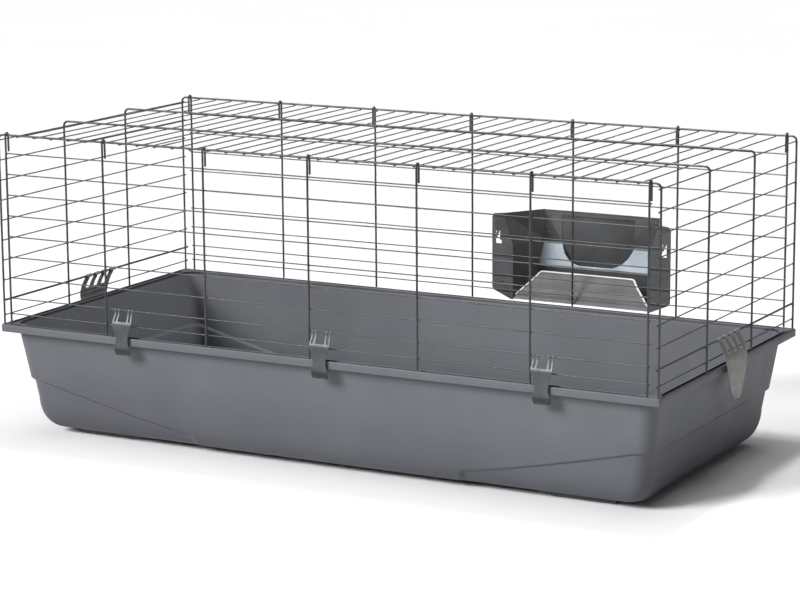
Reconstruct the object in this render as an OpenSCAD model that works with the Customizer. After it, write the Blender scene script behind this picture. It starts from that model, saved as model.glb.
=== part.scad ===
// Indoor rabbit hutch: a moulded tub, a lift-off wire top with swinging front and back panels,
// five sheet-metal clips, and a sheet-metal hay rack hung on the outside of the back panel.
// The origin is on the floor, under the middle of the whole object's box.

/* [Tub] */
// Length over the rim
tub_length = 1180; // [1100:10:1260]
// Width over the rim
tub_width = 560; // [520:10:620]
// Height of the rim above the floor
tub_height = 189; // [165:1:200]
// Thickness of the moulded walls
tub_wall = 3; // [2.5:0.1:3.5]
// Height of the band that hangs round the rim
band_height = 12; // [10:1:15]
// Distance from the rim's edge in to the wall below it
rim_overhang = 14.5; // [12:0.5:18]
// Inward slope of the walls, per millimetre down
wall_slope = 0.145; // [0.1:0.005:0.18]
// Radius of the tub's upright corners
corner_radius = 23; // [20:1:30]
// Height of the moulded ledge on the ends
ledge_height = 96; // [85:1:105]
// Depth of the ledge
ledge_depth = 4; // [3:0.5:7]
// Height of the two long feet
foot_height = 10; // [6:1:12]

/* [Wire cage] */
// Height of the roof wires above the rim
cage_height = 315; // [250:5:380]
// Diameter of the frame wires
frame_wire = 3.4; // [3:0.1:4]
// Diameter of the thin cross wires
thin_wire = 2; // [1.8:0.1:2.4]
// Inset of the hoop wires from the rim's ends
hoop_inset = 5; // [4:0.5:9]
// Inset of the outer hoop wires from the rim's front and back
panel_inset = 6; // [6:0.5:9]
// Number of thin wires across the roof
roof_wires = 34; // [20:1:40]
// Pitch of the thin wires on the two ends
end_pitch = 33.2; // [30:0.1:36]
// Pitch of the thin wires on the front and back panels
panel_pitch = 34.3; // [30:0.1:36]
// Pitch of the hooked uprights on the front and back panels
upright_pitch = 189.5; // [170:0.5:192]

/* [Clips] */
// Width of a front clip at its shoulders
front_clip_width = 36; // [28:1:44]
// Width of an end clip at its shoulders
end_clip_width = 86; // [60:1:90]
// Places of the front clips along the front
front_clip_places = [-346, 21, 401];

/* [Hay rack] */
// Width of the rack over its side flanges
rack_width = 330; // [300:2:350]
// Height of the rack
rack_height = 148; // [120:2:150]
// Depth of the rack behind its flanges
rack_depth = 88; // [76:2:110]
// Place of the rack's middle along the back
rack_place = 202; // [-200:1:204]
// Thickness of the rack's sheet
rack_sheet = 1.2; // [1:0.1:2]

/* [Hidden] */

half_length = tub_length / 2;
half_width = tub_width / 2;

// Rim and wall section
flange_thickness = 3.5;
flange_bottom = tub_height - flange_thickness;
band_thickness = 2.5;
band_corner = 5;
rim_edge = 1.2;
inner_step = 3.5;

// Rounded bottom edge of the tub
round_top = 62;
bottom_round = 28;

// The ledge sweeps down the long walls from the corners and ends in a short hook
sweep_end = 252;
hook_length = 12;
sweep_low = 34;
sweep_power = 1.2;
ledge_drop = 5;
straight_x = half_length - rim_overhang - corner_radius;

// Feet under the tub
foot_outer = 488;
foot_flat = 384;
foot_inner = 334;
foot_reach = 205;
foot_sink = 1.5;

// Wires
frame_r = frame_wire / 2;
thin_r = thin_wire / 2;
weld = 0.1;
hoop_bend = 8;
roof_z = tub_height + cage_height;
hoop_x = half_length - hoop_inset;
hoop_y = half_width - panel_inset;
wire_foot = tub_height + 0.6;
hook_gap = 0.3;
hook_r = 2 * frame_r + hook_gap;
hook_return = 27;
upright_y = hoop_y + hook_r;
rail_y = upright_y - frame_r - thin_r + weld;
rail_overhang = 3;
end_rail_x = hoop_x - frame_r - thin_r + weld;
clip_wire_x = hoop_x - 2 * frame_r + weld;
roof_wire_z = roof_z - frame_r - thin_r + weld;
roof_wire_span = 1097;
end_first = cage_height - 8.5;
panel_first = cage_height - 30;
lowest_end_wire = 16;
lowest_rail = 19;

// Clips: their curled prongs turn on the second-lowest wire
front_clip_z = tub_height + panel_first - 7 * panel_pitch;
end_clip_z = tub_height + end_first - 8 * end_pitch;
clip_sheet = 1;
end_clip_sheet = 1.2;
pivot_gap = 0.08;
curl_end = 12;

// Hay rack
rack_lift = 3;
rack_bottom = tub_height + rack_lift;
rack_gap = 0.4;
rack_front = upright_y + frame_r + rack_gap;
rack_rail = panel_first - 5 * panel_pitch - rack_lift;
top_flange = 21;
low_flange = 39;
side_taper = 16.5;
side_bend_z = 92;
wall_top_z = rack_height - 4;
wall_bend_z = 88;
shelf_z = 48;
scoop_bottom_z = 53;
scoop_half = 68;
scoop_place = -6;
shelf_depth = 18;
lip_rise = 46;
lip_lean = 30;
lip_half_top = 91;

// Everything sits forward of the origin, because the rack reaches out behind
clip_reach = 10.5;
front_reach = rail_y + clip_reach;
back_reach = rack_front + rack_depth + 1.5 * rack_sheet;
middle_y = (front_reach - back_reach) / 2;

fine = 24;

// ---------------------------------------------------------------- shared shapes

module placed() {
    translate([0, middle_y, 0])
        children();
}

// Round bar along x, y or z, between two places on that axis
module bar_x(from, to, r) {
    translate([from, 0, 0])
        rotate([0, 90, 0])
            cylinder(h = to - from, r = r, $fn = fine);
}

module bar_y(from, to, r) {
    translate([0, from, 0])
        rotate([-90, 0, 0])
            cylinder(h = to - from, r = r, $fn = fine);
}

module bar_z(from, to, r) {
    translate([0, 0, from])
        cylinder(h = to - from, r = r, $fn = fine);
}

// Part of a ring of round wire in the x-y plane, swept from angle 0
module wire_bend(bend, r, sweep) {
    rotate_extrude(angle = sweep, $fn = 48)
        translate([bend, 0])
            circle(r = r, $fn = fine);
}

// Outline of a strip of even thickness that follows a list of points
function side_step(points, k) =
    let (last = len(points) - 1)
    let (a = points[max(k - 1, 0)], b = points[min(k + 1, last)])
    let (run = b - a)
    [-run[1], run[0]] / norm(run);

function strip_outline(points, thickness) = concat(
    [for (k = [0:len(points) - 1]) points[k] + side_step(points, k) * thickness / 2],
    [for (k = [len(points) - 1:-1:0]) points[k] - side_step(points, k) * thickness / 2]
);

// ---------------------------------------------------------------- tub

function mix(a, b, f) = a + (b - a) * f;
function clamp01(f) = max(0, min(1, f));

// Inset of the outer wall from the rim's edge at height z, above the ledge
function wall_inset(z) =
    let (drop = clamp01((round_top - z) / (round_top - foot_height)))
    rim_overhang
        + wall_slope * (flange_bottom - max(z, round_top))
        + bottom_round * (1 - sqrt(max(0, 1 - drop * drop)));

// Height of the ledge's line, and depth of the ledge, at distance x along a long wall
function ledge_line(x) =
    let (f = clamp01((x - sweep_end) / (straight_x - sweep_end)))
    mix(sweep_low, ledge_height, pow(f, sweep_power));

function ledge_fade(x) = ledge_depth * clamp01((x - sweep_end) / hook_length);

// A station is [share of the straight run in x, share in y, angle of the wall's normal]
corner_steps = 8;
sweep_steps = 7;
first_quarter = concat(
    [[1, 0, 0]],
    [for (k = [0:corner_steps]) [1, 1, 90 * k / corner_steps]],
    [for (k = [sweep_steps - 1:-1:0])
        [mix(sweep_end + hook_length, straight_x, k / sweep_steps) / straight_x, 1, 90]],
    [for (x = [sweep_end, sweep_end / 2, 0]) [x / straight_x, 1, 90]]
);
quarter_last = len(first_quarter) - 1;

stations = concat(
    first_quarter,
    [for (k = [quarter_last - 1:-1:0])
        [-first_quarter[k][0], first_quarter[k][1], 180 - first_quarter[k][2]]],
    [for (k = [1:quarter_last])
        [-first_quarter[k][0], -first_quarter[k][1], 180 + first_quarter[k][2]]],
    [for (k = [quarter_last - 1:-1:1])
        [first_quarter[k][0], -first_quarter[k][1], -first_quarter[k][2]]]
);

// Point of a station on a rounded rectangle, inset from the rim's edge
function rim_point(station, inset, radius, z) =
    let (straight = [half_length - inset - radius, half_width - inset - radius])
    [
        station[0] * straight[0] + radius * cos(station[2]),
        station[1] * straight[1] + radius * sin(station[2]),
        z
    ];

function on_long_wall(station) = abs(station[0]) < 1;
function station_line(station) =
    on_long_wall(station) ? ledge_line(abs(station[0]) * straight_x) : ledge_height;
function station_depth(station) =
    on_long_wall(station) ? ledge_fade(abs(station[0]) * straight_x) : ledge_depth;

// Rings of the outer skin, from the bottom up: some under the ledge's line, some over it
low_rings = 6;
high_rings = 7;
function skin_height(station, ring) =
    let (line = station_line(station))
    ring <= low_rings
        ? mix(foot_height, line - ledge_drop, pow(ring / low_rings, 2))
        : mix(line, flange_bottom, pow((ring - low_rings - 1) / high_rings, 1.5));

function skin_ring(ring) = [for (s = stations)
    let (z = skin_height(s, ring))
    let (depth = ring <= low_rings ? station_depth(s) : 0)
    rim_point(s, wall_inset(z) + depth, corner_radius, z)];

// The inner skin follows the outer one, a wall's thickness inside it
function inner_ring(ring) = [for (s = stations)
    let (z = skin_height(s, ring))
    let (depth = ring <= low_rings ? station_depth(s) : 0)
    let (lift = tub_wall * clamp01((round_top - z) / (round_top - foot_height)))
    rim_point(s, wall_inset(z) + depth + tub_wall, corner_radius - tub_wall, z + lift)];

function level_ring(inset, radius, z) = [for (s = stations) rim_point(s, inset, radius, z)];

last_ring = low_rings + high_rings + 1;
tub_rings = concat(
    [for (ring = [0:last_ring]) skin_ring(ring)],
    [
        level_ring(band_thickness + 1, band_corner - band_thickness, flange_bottom),
        level_ring(band_thickness, band_corner - band_thickness, tub_height - band_height),
        level_ring(0.6, band_corner, tub_height - band_height),
        level_ring(0, band_corner, tub_height - rim_edge - 0.4),
        level_ring(rim_edge, band_corner, tub_height),
        level_ring(rim_overhang + tub_wall, corner_radius - tub_wall, tub_height),
        level_ring(rim_overhang + tub_wall + 0.4, corner_radius - tub_wall, tub_height - inner_step)
    ],
    [for (ring = [last_ring - 1:-1:0]) inner_ring(ring)]
);

around = len(stations);
ring_count = len(tub_rings);
tub_points = concat(
    [for (ring = tub_rings, p = ring) p],
    [[0, 0, foot_height], [0, 0, foot_height + tub_wall]]
);

tub_faces = concat(
    [for (r = [0:ring_count - 2], k = [0:around - 1])
        [r * around + k, (r + 1) * around + k, (r + 1) * around + (k + 1) % around]],
    [for (r = [0:ring_count - 2], k = [0:around - 1])
        [r * around + k, (r + 1) * around + (k + 1) % around, r * around + (k + 1) % around]],
    [for (k = [0:around - 1]) [ring_count * around, k, (k + 1) % around]],
    [for (k = [0:around - 1])
        [ring_count * around + 1, (ring_count - 1) * around + (k + 1) % around,
            (ring_count - 1) * around + k]]
);

// Long foot under one end, with a ramped inner end
module foot(side) {
    translate([0, foot_reach, 0])
        rotate([90, 0, 0])
            linear_extrude(height = 2 * foot_reach)
                polygon([
                    [side * foot_outer, 0],
                    [side * foot_flat, 0],
                    [side * foot_inner, foot_height],
                    [side * foot_inner, foot_height + foot_sink],
                    [side * foot_outer, foot_height + foot_sink]
                ]);
}

module tub() {
    color([0.45, 0.46, 0.48])
        placed() {
            polyhedron(points = tub_points, faces = tub_faces, convexity = 6);
            foot(-1);
            foot(1);
        }
}

// ---------------------------------------------------------------- wire top

wire_color = [0.29, 0.29, 0.28];

// One bent wire: up one end, along the roof and down the other end
module hoop_wire(k) {
    y = mix(-hoop_y, hoop_y, (k - 1) / 3);
    color(wire_color)
        placed()
            translate([0, y, 0]) {
                translate([0, 0, roof_z])
                    bar_x(-hoop_x + hoop_bend, hoop_x - hoop_bend, frame_r);
                for (side = [-1, 1]) {
                    translate([side * hoop_x, 0, 0])
                        bar_z(wire_foot, roof_z - hoop_bend, frame_r);
                    translate([side * (hoop_x - hoop_bend), 0, roof_z - hoop_bend])
                        rotate([90, side > 0 ? 0 : -90, 0])
                            wire_bend(hoop_bend, frame_r, 90);
                }
            }
}

module roof_cross_wires() {
    step = roof_wire_span / (roof_wires - 1);
    color(wire_color)
        placed()
            for (k = [0:roof_wires - 1])
                translate([k * step - roof_wire_span / 2, 0, roof_wire_z])
                    bar_y(-hoop_y - frame_r + 1, hoop_y + frame_r - 1, thin_r);
}

// Thin wires across one end: eight at an even pitch and one low down
module end_wires(side) {
    heights = concat([for (k = [0:7]) end_first - k * end_pitch], [lowest_end_wire]);
    color(wire_color)
        placed()
            for (z = heights)
                translate([side * end_rail_x, 0, tub_height + z])
                    bar_y(-hoop_y - rail_overhang, hoop_y + rail_overhang, thin_r);
}

// The stouter wire across one end that carries the end clip
module clip_wire(side) {
    color(wire_color)
        placed()
            translate([side * clip_wire_x, 0, end_clip_z])
                bar_y(-hoop_y - rail_overhang, hoop_y + rail_overhang, frame_r);
}

// ---------------------------------------------------------------- front and back panels

// Upright wire that ends in a hairpin hook over the roof wire. side is -1 at the front
module upright(k, side) {
    color(wire_color)
        placed()
            translate([(k - 4) * upright_pitch, side * hoop_y, 0]) {
                translate([0, side * hook_r, 0])
                    bar_z(wire_foot, roof_z, frame_r);
                translate([0, 0, roof_z])
                    rotate([90, 0, 90])
                        wire_bend(hook_r, frame_r, 180);
                translate([0, -side * hook_r, 0])
                    bar_z(roof_z - hook_return, roof_z, frame_r);
            }
}

// Thin rails welded to the inside of a panel's uprights
module rails(side) {
    reach = 3 * upright_pitch + rail_overhang;
    heights = concat([for (k = [0:7]) panel_first - k * panel_pitch], [lowest_rail]);
    color(wire_color)
        placed()
            for (z = heights)
                translate([0, side * rail_y, tub_height + z])
                    bar_x(-reach, reach, thin_r);
}

// ---------------------------------------------------------------- clips

// Sheet bent to a side profile, x inward and y up from the wire that it turns on, with a curled
// top round that wire, then cut to a front outline
module clip_body(wire_r, sheet, points, width) {
    curl = wire_r + pivot_gap + sheet / 2;
    leave = [-cos(curl_end), -sin(curl_end)] * curl;
    intersection() {
        rotate([90, 0, 90])
            translate([0, 0, -width])
                difference() {
                    union() {
                        cylinder(h = 2 * width, r = curl + sheet / 2, $fn = 48);
                        linear_extrude(height = 2 * width)
                            polygon(strip_outline(concat([leave], points), sheet));
                    }
                    translate([0, 0, -1])
                        cylinder(h = 2 * width + 2, r = curl - sheet / 2, $fn = 48);
                }
        rotate([90, 0, 0])
            translate([0, 0, -width])
                linear_extrude(height = 2 * width)
                    children();
    }
}

module front_clip_outline() {
    w = front_clip_width / 2;
    difference() {
        polygon([
            [-w, 4], [w, 4], [w - 1.2, -8], [w, -17], [w, -21], [w - 1.6, -27], [w - 4, -35],
            [w - 5.8, -43], [w - 6.2, -51], [w - 5, -58], [w - 3.6, -62], [w - 3.6, -69],
            [w - 5.6, -73.4], [5.6 - w, -73.4], [3.6 - w, -69], [3.6 - w, -62], [5 - w, -58],
            [6.2 - w, -51], [5.8 - w, -43], [4 - w, -35], [1.6 - w, -27], [-w, -21], [-w, -17],
            [1.2 - w, -8]
        ]);
        translate([-w * 0.45, -17])
            square([w * 0.9, 24]);
        for (side = [-1, 1])
            translate([side * w * 0.74 - 1.8, -17])
                square([3.6, 24]);
    }
}

module front_clip(k) {
    color([0.42, 0.43, 0.43])
        placed()
            translate([front_clip_places[k - 1], -rail_y, front_clip_z])
                clip_body(thin_r, clip_sheet, [
                    [-2.6, -6], [-5.2, -12], [-8.2, -18], [-9.6, -22], [-9.9, -27], [-9.6, -34],
                    [-9.3, -43], [-9.5, -52], [-10, -58], [-9.7, -62], [-7.6, -67], [-6.8, -71],
                    [-7.2, -74]
                ], front_clip_width)
                    front_clip_outline();
}

module end_clip_outline() {
    w = end_clip_width / 2;
    difference() {
        polygon([
            [-w, 6], [w, 6], [w, -18], [w - 1.5, -34], [w - 6, -50], [w - 12, -66],
            [w - 20, -82], [w - 28, -94], [w - 33, -97.5], [33 - w, -97.5], [28 - w, -94],
            [20 - w, -82], [12 - w, -66], [6 - w, -50], [1.5 - w, -34], [-w, -18]
        ]);
        for (x = [-w * 0.54, 0, w * 0.54])
            translate([x - 5.5, -24])
                square([11, 34]);
    }
}

module end_clip(side) {
    color([0.56, 0.57, 0.54])
        placed()
            translate([side * clip_wire_x, 0, end_clip_z])
                rotate([0, 0, side > 0 ? 90 : -90])
                    clip_body(frame_r, end_clip_sheet, [
                        [-5, -7], [-9, -14], [-12.5, -22], [-15.2, -31], [-16.4, -42],
                        [-16.8, -54], [-16.8, -66], [-16.6, -80], [-16.8, -90], [-17.6, -99]
                    ], end_clip_width)
                        end_clip_outline();
}

// ---------------------------------------------------------------- hay rack

rack_half = rack_width / 2;
top_half = rack_half - top_flange;
low_half = rack_half - low_flange;
back_half = low_half - side_taper;

rack_color = [0.5, 0.52, 0.54];

module on_back_panel() {
    placed()
        translate([rack_place, rack_front, rack_bottom])
            children();
}

// Round-bottomed opening in the trough's back, with its edge moved out by grow
module scoop_outline(grow, top) {
    half = scoop_half + grow;
    low = scoop_bottom_z - grow;
    translate([scoop_place, 0])
        polygon([
            [-half, top], [-half, low + 38], [-half + 3, low + 28], [-half + 9, low + 17],
            [-half + 18, low + 8], [-half + 27, low + 3], [-half + 36, low],
            [half - 36, low], [half - 27, low + 3], [half - 18, low + 8],
            [half - 9, low + 17], [half - 3, low + 28], [half, low + 38], [half, top]
        ]);
}

// Trough: upright back wall, shelf, lower back wall, floor and the leaning front lip
module rack_trough() {
    t = rack_sheet;
    inset = t / 2;
    side_profile = strip_outline([
        [rack_depth, wall_top_z], [rack_depth, wall_bend_z],
        [rack_depth - shelf_depth, shelf_z], [rack_depth - shelf_depth, t / 2],
        [1, t / 2], [lip_lean, lip_rise]
    ], t);
    color(rack_color)
        on_back_panel()
            difference() {
                intersection() {
                    rotate([90, 0, 90])
                        translate([0, 0, -rack_half])
                            linear_extrude(height = rack_width)
                                polygon(side_profile);
                    linear_extrude(height = rack_height + 5)
                        polygon([
                            [-low_half + inset, -3], [low_half - inset, -3],
                            [back_half - inset, rack_depth + 3], [-back_half + inset, rack_depth + 3]
                        ]);
                }
                for (side = [-1, 1])
                    rotate([90, 0, 0])
                        translate([0, 0, -lip_lean - 1])
                            linear_extrude(height = lip_lean + 3)
                                polygon([
                                    [side * (low_half + 1), 6],
                                    [side * (low_half - 3), 6],
                                    [side * lip_half_top, lip_rise - 6],
                                    [side * (lip_half_top - 6), lip_rise + 4],
                                    [side * (low_half + 1), lip_rise + 4]
                                ]);
                rotate([90, 0, 0])
                    translate([0, 0, -rack_depth - 2])
                        linear_extrude(height = shelf_depth + 1)
                            scoop_outline(0, wall_top_z - 8);
            }
}

// Thin flat triangle between three points
module plate(a, b, c, t) {
    hull()
        for (p = [a, b, c])
            translate(p)
                cube([t, t, t], center = true);
}

// Side wall that tapers in towards the back and flares out above its bend, with a flange and a
// hooked tab in front
module rack_side(side) {
    t = rack_sheet;
    tab_z = rack_rail + thin_r + rack_gap + t / 2;
    tab_reach = rack_front - rail_y + thin_r + rack_gap + t / 2;
    plan = strip_outline([[low_half, t / 2], [back_half, rack_depth]], t);
    front_top = [top_half, t / 2, rack_height - t];
    front_bend = [low_half, t / 2, side_bend_z];
    back_bend = [back_half, rack_depth - t / 2, side_bend_z];
    back_top = [back_half, rack_depth - t / 2, wall_top_z - t / 2];
    color(rack_color)
        on_back_panel()
            scale([side, 1, 1]) {
                linear_extrude(height = side_bend_z)
                    polygon(plan);
                plate(front_top, front_bend, back_bend, t);
                plate(front_top, back_bend, back_top, t);
                difference() {
                    rotate([90, 0, 0])
                        translate([0, 0, -t])
                            linear_extrude(height = t)
                                polygon([
                                    [low_half - t / 2, -1], [low_half + 3, -1],
                                    [rack_half - 3, 13], [rack_half, 18], [rack_half, rack_height - 8],
                                    [rack_half - 4, rack_height - 2], [top_half - t / 2, rack_height],
                                    [low_half - t / 2, side_bend_z]
                                ]);
                    translate([rack_half - 15, -1, tab_z - 18])
                        cube([8, 4, 22]);
                    translate([rack_half - 18, -1, tab_z - 18])
                        cube([6, 4, 6]);
                }
                translate([rack_half - 13.5, 0, 0])
                    rotate([90, 0, 90])
                        linear_extrude(height = 5)
                            polygon(strip_outline([
                                [t / 2, tab_z + 8], [t / 2, tab_z + 2], [-1, tab_z],
                                [-tab_reach + 1, tab_z], [-tab_reach, tab_z - 1],
                                [-tab_reach, tab_z - 6]
                            ], t));
            }
}

// Plate that closes the round-bottomed opening from behind
module rack_tongue() {
    color(rack_color)
        on_back_panel()
            translate([0, rack_depth + 1.5 * rack_sheet, 0])
                rotate([90, 0, 0])
                    linear_extrude(height = rack_sheet)
                        scoop_outline(4, wall_top_z);
}

// ---------------------------------------------------------------- nodes

tub();
for (k = [1:4])
    hoop_wire(k);
roof_cross_wires();
end_wires(-1);  // left_end_wires
end_wires(1);  // right_end_wires
clip_wire(-1);  // left_clip_wire
clip_wire(1);  // right_clip_wire
for (k = [1:7])
    upright(k, -1);
rails(-1);  // front_rails
for (k = [1:7])
    upright(k, 1);
rails(1);  // back_rails
for (k = [1:3])
    front_clip(k);
end_clip(-1);  // left_end_clip
end_clip(1);  // right_end_clip
rack_trough();
rack_side(-1);  // rack_left_side
rack_side(1);  // rack_right_side
rack_tongue();
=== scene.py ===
import math
import random

import bpy
from mathutils import Matrix, Vector


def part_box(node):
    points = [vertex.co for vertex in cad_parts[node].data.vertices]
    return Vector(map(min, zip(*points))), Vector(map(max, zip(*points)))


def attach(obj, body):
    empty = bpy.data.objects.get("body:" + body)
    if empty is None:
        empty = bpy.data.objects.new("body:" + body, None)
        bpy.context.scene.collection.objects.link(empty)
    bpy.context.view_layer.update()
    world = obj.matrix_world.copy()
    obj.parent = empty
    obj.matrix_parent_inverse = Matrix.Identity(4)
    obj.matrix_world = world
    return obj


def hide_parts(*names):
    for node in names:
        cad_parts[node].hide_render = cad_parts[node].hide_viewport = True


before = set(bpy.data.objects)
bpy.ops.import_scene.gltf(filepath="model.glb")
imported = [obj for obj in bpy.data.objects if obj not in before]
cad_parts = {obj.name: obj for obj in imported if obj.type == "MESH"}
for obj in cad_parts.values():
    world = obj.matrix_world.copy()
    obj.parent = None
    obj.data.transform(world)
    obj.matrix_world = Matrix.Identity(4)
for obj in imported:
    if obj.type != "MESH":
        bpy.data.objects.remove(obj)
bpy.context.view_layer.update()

MM = 0.001
rng = random.Random(7)

tub_low, tub_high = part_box("tub")
MIDDLE_Y = (tub_low.y + tub_high.y) / 2
HALF_LENGTH = (tub_high.x - tub_low.x) / 2 / MM
HALF_WIDTH = (tub_high.y - tub_low.y) / 2 / MM
TUB_HEIGHT = tub_high.z / MM

# The tub's grooves, where shade is painted into the colour: their depth range under the rim, and the
# plain edge outside them
GROOVE_SHALLOW = 0.3
GROOVE_START = 0.9
GROOVE_FLOOR = 3.6
GROOVE_END = 4.2
GROOVE_EDGE = 1.2
GROOVE_EDGE_END = 1.6
GROOVE_SHADE = 0.85

# The sloping shelf of the hay trough, where a painted reflection lightens the colour, from the trough's
# own box
SHELF_LOW = 47
SHELF_HIGH = 88
SHELF_DEPTH = 20
SHELF_HALF = 109


def linear(r, g, b):
    """Linear colour from 0 to 255 screen values."""
    out = []
    for c in (r, g, b):
        c /= 255
        out.append(c / 12.92 if c <= 0.04045 else ((c + 0.055) / 1.055) ** 2.4)
    return out + [1.0]


def mix(a, b, f):
    return a + (b - a) * f


def clamp01(f):
    return max(0.0, min(1.0, f))


def smooth(a, b, v):
    f = clamp01((v - a) / (b - a))
    return f * f * (3 - 2 * f)


def table_value(table, key):
    """Value at key in a list of (key, value) pairs with falling or rising keys."""
    rows = sorted(table)
    if key <= rows[0][0]:
        return rows[0][1]
    for (k0, v0), (k1, v1) in zip(rows, rows[1:]):
        if key <= k1:
            return mix(v0, v1, (key - k0) / (k1 - k0))
    return rows[-1][1]


# ------------------------------------------------------------------ materials

class Shader:
    """Short calls for building one node material."""

    def __init__(self, name, rough, metallic=0.0, specular=0.5):
        self.mat = bpy.data.materials.new(name)
        self.mat.use_nodes = True
        self.tree = self.mat.node_tree
        self.bsdf = self.tree.nodes["Principled BSDF"]
        self.bsdf.inputs["Metallic"].default_value = metallic
        self.bsdf.inputs["Roughness"].default_value = rough
        self.bsdf.inputs["Specular IOR Level"].default_value = specular
        self.coords = self.new("ShaderNodeTexCoord").outputs["Object"]

    def new(self, kind, **settings):
        node = self.tree.nodes.new(kind)
        for key, value in settings.items():
            setattr(node, key, value)
        return node

    def link(self, out, socket):
        self.tree.links.new(out, socket)

    def put(self, value, socket):
        if hasattr(value, "links"):
            self.link(value, socket)
        else:
            socket.default_value = value

    def noise(self, scale, detail=4.0, rough=0.55, stretch=(1, 1, 1), distortion=0.0):
        place = self.new("ShaderNodeMapping")
        place.inputs["Scale"].default_value = stretch
        self.link(self.coords, place.inputs["Vector"])
        node = self.new("ShaderNodeTexNoise")
        node.inputs["Scale"].default_value = scale
        node.inputs["Detail"].default_value = detail
        node.inputs["Roughness"].default_value = rough
        node.inputs["Distortion"].default_value = distortion
        self.link(place.outputs[0], node.inputs["Vector"])
        return node.outputs["Fac"]

    def cells(self, scale):
        node = self.new("ShaderNodeTexVoronoi", feature="F1")
        node.inputs["Scale"].default_value = scale
        self.link(self.coords, node.inputs["Vector"])
        return node.outputs["Distance"]

    def span(self, fac, low, high, from_low=0.0, from_high=1.0):
        node = self.new("ShaderNodeMapRange", clamp=True)
        self.put(fac, node.inputs["Value"])
        limits = {"From Min": from_low, "From Max": from_high, "To Min": low, "To Max": high}
        for key, value in limits.items():
            node.inputs[key].default_value = value
        return node.outputs["Result"]

    def math(self, operation, a, b=0.0):
        node = self.new("ShaderNodeMath", operation=operation)
        self.put(a, node.inputs[0])
        self.put(b, node.inputs[1])
        return node.outputs[0]

    def blend(self, fac, a, b):
        node = self.new("ShaderNodeMix", data_type="RGBA")
        self.put(fac, node.inputs[0])
        self.put(a, node.inputs[6])
        self.put(b, node.inputs[7])
        return node.outputs[2]

    def color(self, value):
        self.put(value, self.bsdf.inputs["Base Color"])

    def rough(self, value):
        self.put(value, self.bsdf.inputs["Roughness"])

    def bump(self, heights):
        """heights: (height output, strength, distance in metres), coarse to fine."""
        last = None
        for height, strength, distance in heights:
            node = self.new("ShaderNodeBump")
            node.inputs["Strength"].default_value = strength
            node.inputs["Distance"].default_value = distance
            self.link(height, node.inputs["Height"])
            if last is not None:
                self.link(last, node.inputs["Normal"])
            last = node.outputs["Normal"]
        self.link(last, self.bsdf.inputs["Normal"])

    def axis(self, name):
        node = self.new("ShaderNodeSeparateXYZ")
        self.link(self.coords, node.inputs[0])
        return node.outputs[name]

    def height(self):
        return self.axis("Z")

    def rim_groove_shade(self, height):
        """Share of painted shade in the grooves of the tub's rim: under its level, inside its edge."""
        under = self.span(height, 1.0, 0.0,
                          (TUB_HEIGHT - GROOVE_START) * MM, (TUB_HEIGHT - GROOVE_SHALLOW) * MM)
        over = self.span(height, 0.0, 1.0,
                         (TUB_HEIGHT - GROOVE_END) * MM, (TUB_HEIGHT - GROOVE_FLOOR) * MM)
        x = self.math("ABSOLUTE", self.axis("X"))
        y = self.math("ABSOLUTE", self.math("SUBTRACT", self.axis("Y"), MIDDLE_Y))
        masks = [self.span(out, 1.0, 0.0, (half - GROOVE_EDGE_END) * MM, (half - GROOVE_EDGE) * MM)
                 for out, half in ((x, HALF_LENGTH), (y, HALF_WIDTH))]
        inside = self.math("MULTIPLY", *masks)
        level = self.math("MULTIPLY", under, over)
        return self.math("MULTIPLY", level, self.math("MULTIPLY", inside, GROOVE_SHADE))

    def shelf_reflection_mask(self):
        """1 on the sloping shelf at the back of the hay trough, where a reflection is painted into the
        colour.
        """
        low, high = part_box("rack_trough")
        z, y = self.height(), self.axis("Y")
        x = self.math("ABSOLUTE", self.math("SUBTRACT", self.axis("X"), (low.x + high.x) / 2))
        parts = (self.span(z, 0.0, 1.0, low.z + SHELF_LOW * MM, low.z + (SHELF_LOW + 2) * MM),
                 self.span(z, 1.0, 0.0, low.z + SHELF_HIGH * MM, low.z + (SHELF_HIGH + 2) * MM),
                 self.span(y, 0.0, 1.0, high.y - SHELF_DEPTH * MM, high.y - (SHELF_DEPTH - 1) * MM),
                 self.span(x, 1.0, 0.0, (SHELF_HALF - 2) * MM, SHELF_HALF * MM))
        out = parts[0]
        for part in parts[1:]:
            out = self.math("MULTIPLY", out, part)
        return out

    def edges(self, low, high):
        node = self.new("ShaderNodeNewGeometry")
        return self.span(node.outputs["Pointiness"], 0.0, 1.0, low, high)


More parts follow.
